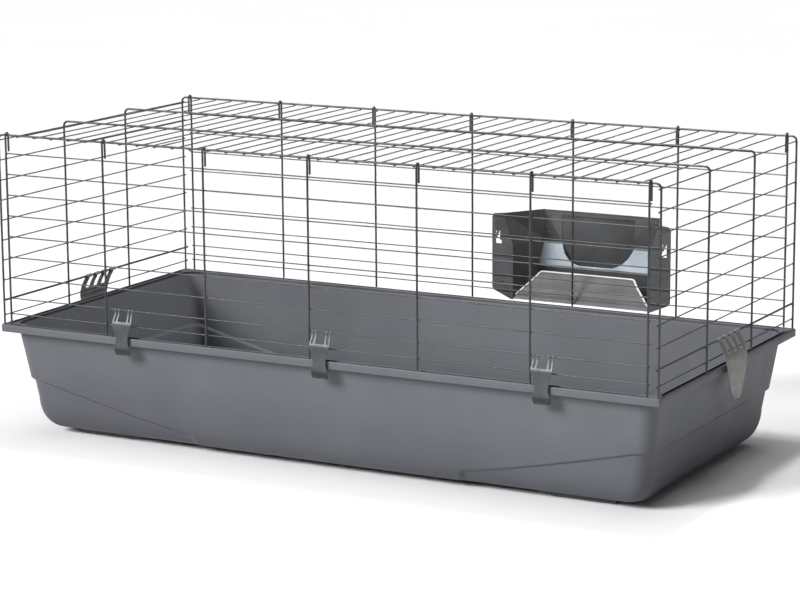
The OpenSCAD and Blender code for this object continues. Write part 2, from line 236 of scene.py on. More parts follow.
def tub_plastic():
    s = Shader("tub_plastic", 0.42, specular=0.5)
    s.bsdf.inputs["IOR"].default_value = 1.22
    cloud = s.noise(3.5, 5, 0.6)
    flow = s.noise(9, 4, 0.6, stretch=(1, 1, 0.16))
    base = s.blend(s.span(cloud, 0, 1, 0.3, 0.7), linear(90, 91, 96), linear(97, 99, 104))
    base = s.blend(s.span(flow, 0, 0.35, 0.45, 0.75), base, linear(82, 84, 90))
    dust = s.span(s.noise(240, 2, 0.7), 0, 0.35, 0.66, 0.8)
    base = s.blend(dust, base, linear(138, 139, 141))
    scuff = s.noise(60, 6, 0.7, stretch=(0.16, 0.16, 2.2), distortion=0.4)
    scuffs = s.math("MULTIPLY", s.span(scuff, 0, 0.6, 0.66, 0.74), s.span(cloud, 0, 1, 0.5, 0.68))
    base = s.blend(scuffs, base, linear(140, 142, 145))
    worn = s.math("MULTIPLY", s.edges(0.53, 0.62), s.span(s.noise(40, 3), 0.1, 0.6, 0.35, 0.7))
    base = s.blend(worn, base, linear(160, 162, 166))
    height = s.height()
    # Painted shade: the colour darkens towards the bottom of the tub, where less light falls
    base = s.blend(s.span(height, 0.42, 0.0, 0.012, 0.125), base, linear(58, 60, 66))
    # Painted shade: the rim's grooves are darkened in the colour
    base = s.blend(s.rim_groove_shade(height), base, linear(34, 35, 39))
    s.color(base)
    s.rough(s.span(s.noise(14, 5, 0.6), 0.33, 0.5, 0.3, 0.7))
    s.bump([(s.noise(2.2, 2, 0.5), 0.25, 0.004), (flow, 0.12, 0.0012),
            (s.cells(850), 0.22, 0.0002), (s.noise(2600, 2, 0.5), 0.2, 0.0001)])
    return s.mat


def wire_coat():
    s = Shader("wire_coat", 0.34, metallic=0.55, specular=0.5)
    base = s.blend(s.span(s.noise(18, 4), 0, 1, 0.35, 0.65), linear(58, 59, 59), linear(72, 73, 73))
    drip = s.span(s.noise(90, 3, 0.6), 0, 0.7, 0.6, 0.72)
    base = s.blend(drip, base, linear(50, 49, 47))
    s.color(base)
    s.rough(s.span(s.noise(120, 3), 0.26, 0.46, 0.3, 0.7))
    s.bump([(s.noise(600, 3, 0.6), 0.3, 0.0002), (s.noise(160, 2), 0.25, 0.0003)])
    return s.mat


def clip_steel(name, light, dark, rough_low, rough_high, shaded_foot_top):
    s = Shader(name, rough_low, metallic=0.45, specular=0.4)
    grain = s.noise(700, 4, 0.65, stretch=(1, 1, 0.05))
    cloud = s.noise(45, 4, 0.6)
    base = s.blend(s.span(cloud, 0, 1, 0.3, 0.7), dark, light)
    spots = s.span(s.noise(260, 3, 0.7), 0, 0.5, 0.64, 0.74)
    base = s.blend(spots, base, linear(92, 86, 76))
    # Painted highlight: sharp edges are lightened in the colour
    base = s.blend(s.math("MULTIPLY", s.edges(0.52, 0.6), 0.5), base, linear(168, 171, 172))
    # Painted shade: the downward-facing foot below the given height is darkened in the colour
    base = s.blend(s.span(s.height(), 0.75, 0.0, shaded_foot_top - 0.004, shaded_foot_top), base, linear(34, 35, 36))
    s.color(base)
    s.rough(s.span(s.noise(80, 4, 0.6), rough_low, rough_high, 0.3, 0.7))
    s.bump([(cloud, 0.15, 0.0008), (grain, 0.22, 0.00012)])
    return s.mat


def rack_sheet(name, lift, shelf=False):
    s = Shader(name, 0.5, metallic=0.3, specular=0.4)
    grain = s.noise(420, 4, 0.6, stretch=(0.05, 1, 1))
    cloud = s.noise(16, 5, 0.6, distortion=0.6)
    # lift moves the whole colour lighter or darker: painted shade on the scoop, a painted highlight on
    # the rolled edge
    dark = linear(60 + lift, 60 + lift, 61 + lift)
    light = linear(72 + lift, 73 + lift, 74 + lift)
    base = s.blend(s.span(cloud, 0, 1, 0.3, 0.7), dark, light)
    stain = s.span(s.noise(55, 4, 0.65), 0, 0.35, 0.58, 0.75)
    base = s.blend(stain, base, linear(64 + lift, 64 + lift, 57 + lift))
    # Painted highlight: sharp edges are lightened a little in the colour
    base = s.blend(s.math("MULTIPLY", s.edges(0.53, 0.6), 0.12), base, linear(150, 154, 158))
    if shelf:
        # Painted reflection: the shelf's colour is lighter where it catches the key light
        shelf_reflection_colour = s.blend(cloud, linear(92, 99, 105), linear(112, 120, 127))
        base = s.blend(s.shelf_reflection_mask(), base, shelf_reflection_colour)
    s.color(base)
    s.rough(s.span(s.noise(30, 5, 0.65), 0.42, 0.56, 0.3, 0.72))
    s.bump([(s.noise(9, 2, 0.5), 0.12, 0.002), (grain, 0.16, 0.00015), (s.noise(900, 2), 0.1, 0.00008)])
    return s.mat


TUB = tub_plastic()
WIRE = wire_coat()
# The front clips' feet are darkened below the last height as painted shade; the end clips, at 0, are
# not
FRONT_STEEL = clip_steel("front_clip_steel", linear(78, 80, 82), linear(62, 64, 65), 0.38, 0.5,
                         (TUB_HEIGHT - 15) * MM)
END_STEEL = clip_steel("end_clip_steel", linear(132, 134, 130), linear(113, 115, 111), 0.4, 0.54,
                       0.0)
RACK = rack_sheet("rack_sheet", 0, shelf=True)
# Painted shade: the scoop uses the rack colour made a little darker
SCOOP_SHADED = rack_sheet("rack_scoop_shaded_sheet", -6)
# Painted highlight: the rolled edge uses the rack colour made much lighter
BEAD_HIGHLIGHT = rack_sheet("rack_rolled_edge_highlight", 110)

# ------------------------------------------------------------------ mesh helpers


def add_piece(name, verts, faces, material, body, nodes=(), crease=40.0):
    mesh = bpy.data.meshes.new(name)
    mesh.from_pydata([tuple(v) for v in verts], [], faces)
    mesh.update()
    mesh.materials.append(material)
    for polygon in mesh.polygons:
        polygon.use_smooth = True
    mesh.set_sharp_from_angle(angle=math.radians(crease))
    piece = bpy.data.objects.new(name, mesh)
    bpy.context.scene.collection.objects.link(piece)
    return dress(piece, body, nodes)


def dress(piece, body, nodes=()):
    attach(piece, body)
    if nodes:
        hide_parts(*nodes)
    return piece


def apply_modifiers(piece, crease):
    """Keep the mesh that the piece's modifiers make, and drop the modifiers."""
    bpy.context.view_layer.update()
    graph = bpy.context.evaluated_depsgraph_get()
    mesh = bpy.data.meshes.new_from_object(piece.evaluated_get(graph))
    piece.modifiers.clear()
    piece.data = mesh
    for polygon in mesh.polygons:
        polygon.use_smooth = True
    mesh.set_sharp_from_angle(angle=math.radians(crease))


def place(x, y, z):
    """Point in metres, from millimetres counted from the tub's middle on the floor."""
    return Vector((x * MM, MIDDLE_Y + y * MM, z * MM))


def sweep_tube(verts, faces, path, radius, sides):
    """Round bar along a path of points in metres, with rounded ends."""
    path = [Vector(p) for p in path]
    first = (path[1] - path[0]).normalized()
    last = (path[-1] - path[-2]).normalized()
    inset = radius * 0.35
    tip = 0.62
    stops = [(path[0], tip), (path[0] + first * inset, 1.0)]
    stops += [(p, 1.0) for p in path[1:-1]]
    stops += [(path[-1] - last * inset, 1.0), (path[-1], tip)]
    points = [p for p, _ in stops]
    tangents = []
    for k in range(len(points)):
        before = points[max(k - 1, 0)]
        after = points[min(k + 1, len(points) - 1)]
        tangents.append((after - before).normalized())
    side = tangents[0].orthogonal().normalized()
    start = len(verts)
    for k, (point, share) in enumerate(stops):
        if k:
            turn = tangents[k - 1].rotation_difference(tangents[k])
            side = (turn @ side).normalized()
        other = tangents[k].cross(side)
        for j in range(sides):
            a = 2 * math.pi * j / sides
            verts.append(point + (side * math.cos(a) + other * math.sin(a)) * radius * share)
    count = len(stops)
    for k in range(count - 1):
        for j in range(sides):
            a = start + k * sides + j
            b = start + k * sides + (j + 1) % sides
            faces.append((a, b, b + sides, a + sides))
    faces.append(tuple(start + j for j in range(sides - 1, -1, -1)))
    end = start + (count - 1) * sides
    faces.append(tuple(end + j for j in range(sides)))


def add_weld(verts, faces, centre, radii):
    """Small squashed bead of weld metal."""
    rings, sides = 4, 8
    start = len(verts)
    verts.append(centre + Vector((0, 0, radii[2])))
    for r in range(1, rings):
        a = math.pi * r / rings
        for j in range(sides):
            b = 2 * math.pi * j / sides
            verts.append(centre + Vector((
                radii[0] * math.sin(a) * math.cos(b),
                radii[1] * math.sin(a) * math.sin(b),
                radii[2] * math.cos(a))))
    verts.append(centre - Vector((0, 0, radii[2])))
    bottom = len(verts) - 1
    for j in range(sides):
        n = (j + 1) % sides
        faces.append((start, start + 1 + j, start + 1 + n))
        low = start + 1 + (rings - 2) * sides
        faces.append((bottom, low + n, low + j))
        for r in range(rings - 2):
            a = start + 1 + r * sides
            faces.append((a + j, a + sides + j, a + sides + n, a + n))


# ------------------------------------------------------------------ tub

FLANGE_BOTTOM = TUB_HEIGHT - 3.5
RIM_OVERHANG = 14.5
TUB_WALL = 3.0
WALL_SLOPE = 0.145
CORNER = 23.0
BAND_CORNER = 5.0
BAND_HEIGHT = 12.0
BAND_BOTTOM = TUB_HEIGHT - BAND_HEIGHT
FOOT_HEIGHT = 10.0
FOOT_REACH = 205.0
ROUND_TOP = 62.0
BOTTOM_ROUND = 28.0
LEDGE_HEIGHT = 96.0
LEDGE_DEPTH = 4.0
LEDGE_DROP = 5.0
SWEEP_END = 252.0
HOOK_LENGTH = 12.0
SWEEP_LOW = 34.0
STRAIGHT_X = HALF_LENGTH - RIM_OVERHANG - CORNER
STRAIGHT_Y = HALF_WIDTH - RIM_OVERHANG - CORNER


def wall_inset(z):
    drop = clamp01((ROUND_TOP - z) / (ROUND_TOP - FOOT_HEIGHT))
    return (RIM_OVERHANG + WALL_SLOPE * (FLANGE_BOTTOM - max(z, ROUND_TOP))
            + BOTTOM_ROUND * (1 - math.sqrt(max(0.0, 1 - drop * drop))))


def tub_stations():
    """Stations round the tub: (share of the straight run in x, in y, angle of the wall's normal)."""
    quarter = [(1, y / STRAIGHT_Y, 0) for y in (0, 60, 120, 170, 195, 205, 211, 217, 223, 229)]
    quarter += [(1, 1, 90 * k / 14) for k in range(15)]
    xs = [STRAIGHT_X - d for d in (4, 10, 16, 22, 30)]
    xs += [STRAIGHT_X - 30 - (STRAIGHT_X - 30 - SWEEP_END - 16) * k / 18 for k in range(1, 19)]
    xs += [SWEEP_END + d for d in (12, 9, 6, 3, 0, -4)]
    xs += [SWEEP_END * k / 8 for k in range(7, -1, -1)]
    quarter += [(x / STRAIGHT_X, 1, 90) for x in xs]
    full = list(quarter)
    full += [(-sx, sy, 180 - a) for sx, sy, a in reversed(quarter[:-1])]
    full += [(-sx, -sy, 180 + a) for sx, sy, a in quarter[1:]]
    full += [(sx, -sy, -a) for sx, sy, a in reversed(quarter[1:-1])]
    return full


def station_ledge(station):
    """Height of the ledge's line and its depth at a station."""
    sx = abs(station[0])
    if sx >= 1:
        return LEDGE_HEIGHT, LEDGE_DEPTH
    x = sx * STRAIGHT_X
    f = clamp01((x - SWEEP_END) / (STRAIGHT_X - SWEEP_END))
    line = mix(SWEEP_LOW, LEDGE_HEIGHT, f ** 1.2)
    return line, LEDGE_DEPTH * smooth(0, HOOK_LENGTH, x - SWEEP_END)


def groove_share(station):
    """1 along the straight rims, 0 at the corner webs."""
    sx, sy = abs(station[0]), abs(station[1])
    if sx < 1:
        return smooth(4, 16, STRAIGHT_X * (1 - sx))
    return smooth(4, 16, STRAIGHT_Y * (1 - sy))


def rim_point(station, inset, radius, z):
    a = math.radians(station[2])
    return place(station[0] * (HALF_LENGTH - inset - radius) + radius * math.cos(a),
                 station[1] * (HALF_WIDTH - inset - radius) + radius * math.sin(a), z)


def skin_rings(stations):
    """Outer rings from the bottom up to the flange: (inset, z, ledge depth) at each station."""
    rings = []
    low, high = 18, 14
    for k in range(low + 1):
        row = []
        for s in stations:
            line, depth = station_ledge(s)
            top = line - LEDGE_DROP
            if k < low - 1:
                z = mix(FOOT_HEIGHT, top, (k / low) ** 1.7)
            else:
                z = top - (1.4 if k == low - 1 else 0)
            row.append((wall_inset(z), z, depth))
        rings.append(row)
    for k in range(high + 1):
        row = []
        for s in stations:
            line, _ = station_ledge(s)
            z = line + 1.2 if k == 1 else mix(line, FLANGE_BOTTOM, (k / high) ** 1.3)
            row.append((wall_inset(z), z, 0))
        rings.append(row)
    return rings


def build_tub():
    stations = tub_stations()
    rings = []
    skin = skin_rings(stations)
    for row in skin:
        rings.append([rim_point(s, inset + depth, CORNER, z)
                      for s, (inset, z, depth) in zip(stations, row)])
    # inset, corner radius and height, from the flange's underside round the band to the top
    band = [(3.6, 1.6, FLANGE_BOTTOM), (2.7, 2.2, FLANGE_BOTTOM - 0.8), (2.5, 2.5, BAND_BOTTOM + 0.8),
            (2.1, 2.9, BAND_BOTTOM), (0.7, 4.4, BAND_BOTTOM),
            (0.2, BAND_CORNER, BAND_BOTTOM + 0.3), (0, BAND_CORNER, BAND_BOTTOM + 1),
            (0, BAND_CORNER, TUB_HEIGHT - 1.4), (0.3, BAND_CORNER, TUB_HEIGHT - 0.5),
            (0.9, BAND_CORNER, TUB_HEIGHT)]
    for inset, radius, z in band:
        rings.append([rim_point(s, inset, radius, z) for s in stations])
    inner_edge = RIM_OVERHANG + TUB_WALL
    inner_corner = CORNER - TUB_WALL
    # inset and depth of the wide groove and of the step inside it
    top = [(1.5, 0), (1.8, 2.4), (2.2, 3), (10.8, 3), (11.2, 2.4), (11.5, 0),
           (13.0, 0), (13.2, 0.3), (13.5, 2.6), (13.9, 3.2), (16.4, 3.2), (inner_edge - 0.4, 3.3)]
    for inset, depth in top:
        radius = mix(BAND_CORNER, inner_corner, clamp01((inset - 1.2) / (inner_edge - 1.2)))
        rings.append([rim_point(s, inset, radius, TUB_HEIGHT - depth * groove_share(s))
                      for s in stations])
    rings.append([rim_point(s, inner_edge, inner_corner, TUB_HEIGHT - mix(0.5, 3.8, groove_share(s)))
                  for s in stations])
    rings.append([rim_point(s, inner_edge + 0.3, inner_corner, FLANGE_BOTTOM - 1.6)
                  for s in stations])
    for row in reversed(skin[:-1]):
        line = []
        for s, (inset, z, depth) in zip(stations, row):
            lift = TUB_WALL * clamp01((ROUND_TOP - z) / (ROUND_TOP - FOOT_HEIGHT))
            if z + lift > FLANGE_BOTTOM - 2:
                z = FLANGE_BOTTOM - 2 - lift
            line.append(rim_point(s, inset + depth + TUB_WALL, inner_corner, z + lift))
        rings.append(line)
    around = len(stations)
    verts = [p for row in rings for p in row]
    faces = []
    for r in range(len(rings) - 1):
        for k in range(around):
            n = (k + 1) % around
            faces.append((r * around + k, r * around + n, (r + 1) * around + n, (r + 1) * around + k))

    def flat_floor(first, z, flip):
        """Flat floor inside a ring, from shrunk rings so that the shading stays even."""
        previous = first
        for share in (0.97, 0.85, 0.5):
            ring = [len(verts) + k for k in range(around)]
            for k in range(around):
                p = verts[first + k]
                verts.append(Vector((p.x * share, MIDDLE_Y + (p.y - MIDDLE_Y) * share, z * MM)))
            for k in range(around):
                n = (k + 1) % around
                quad = (previous + k, previous + n, ring[n], ring[k])
                faces.append(quad[::-1] if flip else quad)
            previous = ring[0]
        centre = len(verts)
        verts.append(place(0, 0, z))
        for k in range(around):
            n = (k + 1) % around
            corner = (previous + k, previous + n, centre)
            faces.append((corner[1], corner[0], centre) if flip else corner)

    flat_floor((len(rings) - 1) * around, FOOT_HEIGHT + TUB_WALL, False)
    flat_floor(0, FOOT_HEIGHT, True)
    return verts, faces


def foot_mesh(verts, faces, side):
    """Long foot with a ramped inner end and softly rounded edges."""
    top = FOOT_HEIGHT + 1.5
    profile = [(334, top), (334, FOOT_HEIGHT - 0.2), (383, 0.3), (385.5, 0), (487, 0), (487.8, 0.3),
               (488, 1.2), (488, top)]
    reach = FOOT_REACH
    rows = [(-reach, 0.9), (-reach + 0.4, 0.25), (-reach + 1.4, 0),
            (reach - 1.4, 0), (reach - 0.4, 0.25), (reach, 0.9)]
    start = len(verts)
    for y, shrink in rows:
        for x, z in profile:
            x = x + (shrink if x < 400 else -shrink)
            verts.append(place(side * x, y, max(z, shrink)))
    count = len(profile)
    for r in range(len(rows) - 1):
        for k in range(count):
            n = (k + 1) % count
            row = start + r * count
            quad = (row + k, row + n, row + count + n, row + count + k)
            faces.append(quad if side > 0 else quad[::-1])
    first = tuple(start + k for k in range(count))
    last = tuple(start + (len(rows) - 1) * count + k for k in range(count))
    faces.append(first[::-1] if side > 0 else first)
    faces.append(last if side > 0 else last[::-1])


def tub_moulding():
    verts, faces = build_tub()
    foot_mesh(verts, faces, -1)
    foot_mesh(verts, faces, 1)
    add_piece("tub_moulding", verts, faces, TUB, "tub", ["tub"], crease=32)


tub_moulding()

# ------------------------------------------------------------------ wires


def waver(amount):
    """Small random offset, up to amount millimetres each way."""
    return rng.uniform(-amount, amount) * MM


def bent_line(a, b, steps, amount):
    """Points from a to b with the slight waver of drawn wire."""
    points = [a.copy()]
    for k in range(1, steps):
        p = a.lerp(b, k / steps)
        points.append(p + Vector((waver(amount), waver(amount), waver(amount))))
    points.append(b.copy())
    return points


HOOP_BEND = 8 * MM


def wire_hoops():
    verts, faces = [], []
    nodes = []
    for k in range(1, 5):
        node = f"hoop_wire_{k}"
        nodes.append(node)
        low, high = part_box(node)
        r = (high.y - low.y) / 2
        y = (high.y + low.y) / 2
        left, right, top = low.x + r, high.x - r, high.z - r
        bend = HOOP_BEND
        path = bent_line(Vector((left, y, low.z)), Vector((left, y, top - bend)), 4, 0.1)
        for j in range(1, 9):
            a = math.pi / 2 * j / 8
            path.append(Vector((left + bend - bend * math.cos(a), y, top - bend + bend * math.sin(a))))
        path += bent_line(Vector((left + bend, y, top)), Vector((right - bend, y, top)), 12, 0.12)[1:]
        for j in range(1, 9):
            a = math.pi / 2 * j / 8
            path.append(Vector((right - bend + bend * math.sin(a), y, top - bend + bend * math.cos(a))))
        path += bent_line(Vector((right, y, top - bend)), Vector((right, y, low.z)), 4, 0.1)[1:]
        sweep_tube(verts, faces, path, r, 14)
    add_piece("wire_hoops", verts, faces, WIRE, "wire_top", nodes)


def hoop_ys():
    boxes = [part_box(f"hoop_wire_{k}") for k in range(1, 5)]
    return [(low.y + high.y) / 2 for low, high in boxes]


ROOF_WIRES = 34


def wire_roof():
    verts, faces = [], []
    low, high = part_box("roof_cross_wires")
    r = (high.z - low.z) / 2
    z = (high.z + low.z) / 2
    for k in range(ROOF_WIRES):
        x = mix(low.x + r, high.x - r, k / (ROOF_WIRES - 1))
        ends = (Vector((x, low.y, z)), Vector((x, high.y, z)))
        sweep_tube(verts, faces, bent_line(*ends, 6, 0.2), r, 10)
        for y in hoop_ys():
            add_weld(verts, faces, Vector((x, y, z + r * 0.75)), (1.7 * MM, 1.9 * MM, 0.85 * MM))
    add_piece("wire_roof", verts, faces, WIRE, "wire_top", ["roof_cross_wires"])


# Heights over the rim: eight even steps down, and the lowest wire
END_FIRST, END_PITCH, END_LOWEST = 306.5, 33.2, 16
RAIL_FIRST, RAIL_PITCH, RAIL_LOWEST = 285, 34.3, 19
END_HEIGHTS = [END_FIRST - END_PITCH * k for k in range(8)] + [END_LOWEST]
RAIL_HEIGHTS = [RAIL_FIRST - RAIL_PITCH * k for k in range(8)] + [RAIL_LOWEST]
CLIP_RAIL = RAIL_HEIGHTS[-2]


def wire_end(side, name):
    verts, faces = [], []
    low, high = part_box(f"{name}_end_wires")
    r = (high.x - low.x) / 2
    x = (high.x + low.x) / 2
    for height in END_HEIGHTS:
        z = (TUB_HEIGHT + height) * MM
        path = bent_line(Vector((x, low.y, z)), Vector((x, high.y, z)), 6, 0.2)
        sweep_tube(verts, faces, path, r, 10)
        for y in hoop_ys():
            add_weld(verts, faces, Vector((x + side * r * 0.75, y, z)), (0.85 * MM, 1.9 * MM, 1.7 * MM))
    low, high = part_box(f"{name}_clip_wire")
    r = (high.x - low.x) / 2
    x, z = (high.x + low.x) / 2, (high.z + low.z) / 2
    sweep_tube(verts, faces, [Vector((x, low.y, z)), Vector((x, high.y, z))], r, 14)
    for y in hoop_ys():
        add_weld(verts, faces, Vector((x + side * r * 0.85, y, z)), (1.1 * MM, 2.3 * MM, 2.1 * MM))
    add_piece(f"wire_{name}_end", verts, faces, WIRE, "wire_top",
              [f"{name}_end_wires", f"{name}_clip_wire"])


HOOK_R = 3.7 * MM
HOOK_RETURN = 27 * MM


def wire_panel(side, name):
    verts, faces = [], []
    nodes = []
    xs = []
    for k in range(1, 8):
        node = f"{name}_upright_{k}"
        nodes.append(node)
        low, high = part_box(node)
        r = (high.x - low.x) / 2
        x = (high.x + low.x) / 2
        xs.append(x)
        outer = low.y + r if side < 0 else high.y - r
        inner = high.y - r if side < 0 else low.y + r
        top = high.z - r - HOOK_R
        path = bent_line(Vector((x, outer, low.z)), Vector((x, outer, top)), 5, 0.12)
        for j in range(1, 13):
            a = math.pi * j / 12
            y = (outer + inner) / 2 + (outer - inner) / 2 * math.cos(a)
            path.append(Vector((x, y, top + HOOK_R * math.sin(a))))
        path.append(Vector((x, inner, top - HOOK_RETURN / 2)))
        path.append(Vector((x, inner, top - HOOK_RETURN)))
        sweep_tube(verts, faces, path, r, 14)
    add_piece(f"{name}_uprights", verts, faces, WIRE, f"{name}_panel", nodes)
    verts, faces = [], []
    low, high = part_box(f"{name}_rails")
    r = (high.y - low.y) / 2
    y = (high.y + low.y) / 2
    for height in RAIL_HEIGHTS:
        z = (TUB_HEIGHT + height) * MM
        amount = 0.0 if height == CLIP_RAIL else 0.2
        path = bent_line(Vector((low.x, y, z)), Vector((high.x, y, z)), 12, amount)
        sweep_tube(verts, faces, path, r, 10)
        for x in xs:
            add_weld(verts, faces, Vector((x, y + side * r * 0.75, z)), (1.9 * MM, 0.85 * MM, 1.7 * MM))
    add_piece(f"{name}_rail_wires", verts, faces, WIRE, f"{name}_panel",
              [f"{name}_rails"])


wire_hoops()
wire_roof()
wire_end(-1, "left")
wire_end(1, "right")
wire_panel(-1, "front")
wire_panel(1, "back")

# ------------------------------------------------------------------ clips


CURL_GAP = 0.08


def curve_through(points, steps):
    """Smooth line through points, by Catmull-Rom."""
    out = []
    last = len(points) - 1
    for k in range(last):
        p0, p1 = points[max(k - 1, 0)], points[k]
        p2, p3 = points[k + 1], points[min(k + 2, last)]
        for j in range(steps):
            t = j / steps
            out.append(tuple(
                0.5 * (2 * b + (c - a) * t + (2 * a - 5 * b + 4 * c - d) * t * t
                       + (3 * b - a - 3 * c + d) * t ** 3)
                for a, b, c, d in zip(p0, p1, p2, p3)))
    out.append(tuple(points[-1]))
    return out


def clip_sheet(name, node, material, pivot, out_dir, side_dir, wire_r, sheet, profile,
               half_widths, edges, slot_bottom):
    """Bent sheet with four curled prongs.

    profile is (out, up) from the wire, half_widths is (up, half width), edges are the prongs' sides.
    """
    curl = wire_r + CURL_GAP + sheet / 2
    angles = [math.radians(a) for a in range(235, -8, -15)]
    arc = [(curl * math.cos(a), curl * math.sin(a)) for a in angles]
    body_line = curve_through([(curl * 0.985, -curl * 0.2)] + profile, 4)
    line = arc + body_line
    widest = half_widths[0][1]
    columns = []
    kinds = []
    for k in range(len(edges) - 1):
        steps = 3 if k % 2 == 0 else 4
        for j in range(steps):
            columns.append(mix(edges[k], edges[k + 1], j / steps))
            kinds.append(k % 2)
    columns.append(edges[-1])
    verts, faces = [], []
    slot_row = min(k for k, p in enumerate(line) if k >= len(arc) and p[1] <= slot_bottom)
    for r, (out, up) in enumerate(line):
        scale = 1.0 if r < len(arc) else table_value(half_widths, up) / widest
        for x in columns:
            across = side_dir * x * scale * MM
            verts.append(pivot + out_dir * out * MM + across + Vector((0, 0, up * MM)))
    count = len(columns)
    for r in range(len(line) - 1):
        for c in range(count - 1):
            if kinds[c] == 1 and r < slot_row:
                continue
            a = r * count + c
            faces.append((a, a + 1, a + count + 1, a + count))
    used = sorted({i for f in faces for i in f})
    index = {old: new for new, old in enumerate(used)}
    verts = [verts[i] for i in used]
    faces = [tuple(index[i] for i in f) for f in faces]
    piece = add_piece(name, verts, faces, material, node, [node], crease=60)
    solid = piece.modifiers.new("sheet", "SOLIDIFY")
    solid.thickness = sheet * MM
    solid.offset = 0
    solid.use_even_offset = True
    bevel = piece.modifiers.new("edge", "BEVEL")
    bevel.width = 0.28 * MM
    bevel.segments = 2
    bevel.limit_method = "ANGLE"
    bevel.angle_limit = math.radians(50)
    apply_modifiers(piece, 60)


FRONT_PROFILE = [(2.6, -6), (5.2, -12), (8.2, -18), (9.6, -22), (9.9, -27), (9.6, -34), (9.3, -43),
                 (9.5, -52), (10, -58), (9.7, -62), (7.6, -67), (6.8, -71), (7.2, -73.2)]
FRONT_HALF = [(4, 18), (-8, 16.8), (-17, 18), (-21, 18), (-27, 16.4), (-35, 13.6), (-43, 11.4),
              (-51, 11), (-58, 12.8), (-62, 14.8), (-69, 15), (-73.4, 13)]
FRONT_PRONGS = (-18, -15.1, -11.5, -8.1, 8.1, 11.5, 15.1, 18)
FRONT_SLOT = -17
FRONT_WIRE_R = 1.0
FRONT_SHEET = 1.0

END_PROFILE = [(5, -7), (9, -14), (12.5, -22), (15.2, -31), (16.4, -42), (16.8, -54), (16.8, -66),
               (16.6, -80), (16.8, -90), (17.5, -97.2)]
END_HALF = [(6, 43), (-18, 43), (-34, 41.5), (-50, 37), (-66, 31), (-82, 23), (-94, 15), (-97.5, 10)]
END_PRONGS = (-43, -28.72, -17.72, -5.5, 5.5, 17.72, 28.72, 43)
END_SLOT = -24
END_WIRE_R = 1.7
END_SHEET = 1.2


def front_clip(k):
    node = f"front_clip_{k}"
    low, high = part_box(node)
    rail_low, rail_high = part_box("front_rails")
    pivot = Vector(((low.x + high.x) / 2, (rail_low.y + rail_high.y) / 2,
                    high.z - (FRONT_WIRE_R + CURL_GAP + FRONT_SHEET) * MM))
    clip_sheet(f"front_clip_sheet_{k}", node, FRONT_STEEL, pivot,
               Vector((0, -1, 0)), Vector((1, 0, 0)), FRONT_WIRE_R, FRONT_SHEET, FRONT_PROFILE,
               FRONT_HALF, FRONT_PRONGS, FRONT_SLOT)


def end_clip(side, name):
    node = f"{name}_end_clip"
    wire_low, wire_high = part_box(f"{name}_clip_wire")
    clip_sheet(f"{name}_end_clip_sheet", node, END_STEEL,
               (wire_low + wire_high) / 2, Vector((side, 0, 0)), Vector((0, side, 0)), END_WIRE_R,
               END_SHEET, END_PROFILE, END_HALF, END_PRONGS, END_SLOT)


for number in range(1, 4):
    front_clip(number)
end_clip(-1, "left")
end_clip(1, "right")

# ------------------------------------------------------------------ hay rack

rack_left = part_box("rack_left_side")[0]
rack_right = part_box("rack_right_side")[1]
RACK_X = (rack_left.x + rack_right.x) / 2
RACK_Z = rack_left.z
LIP_LEAN = 30.0
LIP_RISE = 46.0
LIP_HALF_TOP = 91.0
LOW_HALF = 126.0
RACK_DEPTH = 88.0
RACK_SHEET = 1.2
RACK_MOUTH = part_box("rack_trough")[1].y - (RACK_DEPTH + RACK_SHEET / 2) * MM
FLANGE_X = 146


def rack_point(x, y, z):
    """Point in metres, from millimetres counted from the rack's mouth, its middle and bottom."""
    return Vector((RACK_X + x * MM, RACK_MOUTH + y * MM, RACK_Z + z * MM))


def sheet_copy(node, name, width, material=RACK):
    """Copy of a rack part, its split corners joined and its edges and bends softly rounded."""
    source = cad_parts[node]
    verts, index, faces = [], {}, []
    welded = []
    for vertex in source.data.vertices:
        point = source.matrix_world @ vertex.co
        key = tuple(round(c, 6) for c in point)
        if key not in index:
            index[key] = len(verts)
            verts.append(point)
        welded.append(index[key])
    for polygon in source.data.polygons:
        corners = [welded[i] for i in polygon.vertices]
        if len(set(corners)) == len(corners):
            faces.append(corners)
    mesh = bpy.data.meshes.new(name)
    mesh.from_pydata(verts, [], faces)
    mesh.update()
    mesh.materials.append(material)
    piece = bpy.data.objects.new(name, mesh)
    bpy.context.scene.collection.objects.link(piece)
    flat = piece.modifiers.new("flat", "DECIMATE")
    flat.decimate_type = "DISSOLVE"
    flat.angle_limit = math.radians(1.5)
    bevel = piece.modifiers.new("edge", "BEVEL")
    bevel.width = width * MM
    bevel.segments = 3
    bevel.limit_method = "ANGLE"
    bevel.angle_limit = math.radians(25)
    apply_modifiers(piece, 35)
    for polygon in piece.data.polygons:
        polygon.use_smooth = False
    dress(piece, "hay_rack", [node])


def lip_y(z):
    """How far back the leaning front lip is at a height."""
    return 1 + (LIP_LEAN - 1) * z / LIP_RISE


def lip_bead():
    """Rolled bead along the sloping sides and the top of the front lip."""
    corner = 9.0
    outline = [(-LOW_HALF + 3, 6.5), (-LIP_HALF_TOP - 5, LIP_RISE - 12)]
    turn_x, turn_z = -LIP_HALF_TOP + corner, LIP_RISE - corner
    for a in range(150, 89, -10):
        turn = math.radians(a)
        outline.append((turn_x + corner * math.cos(turn), turn_z + corner * math.sin(turn)))
    outline += [(-40, LIP_RISE), (0, LIP_RISE)]
    outline += [(-x, z) for x, z in reversed(outline[:-1])]
    verts, faces = [], []
    path = [rack_point(x, lip_y(z) - 0.3, z + 1.0) for x, z in outline]
    sweep_tube(verts, faces, path, 1.9 * MM, 12)
    # The bead's material is a painted highlight: the rack colour made much lighter
    add_piece("rack_lip_bead", verts, faces, BEAD_HIGHLIGHT, "hay_rack")


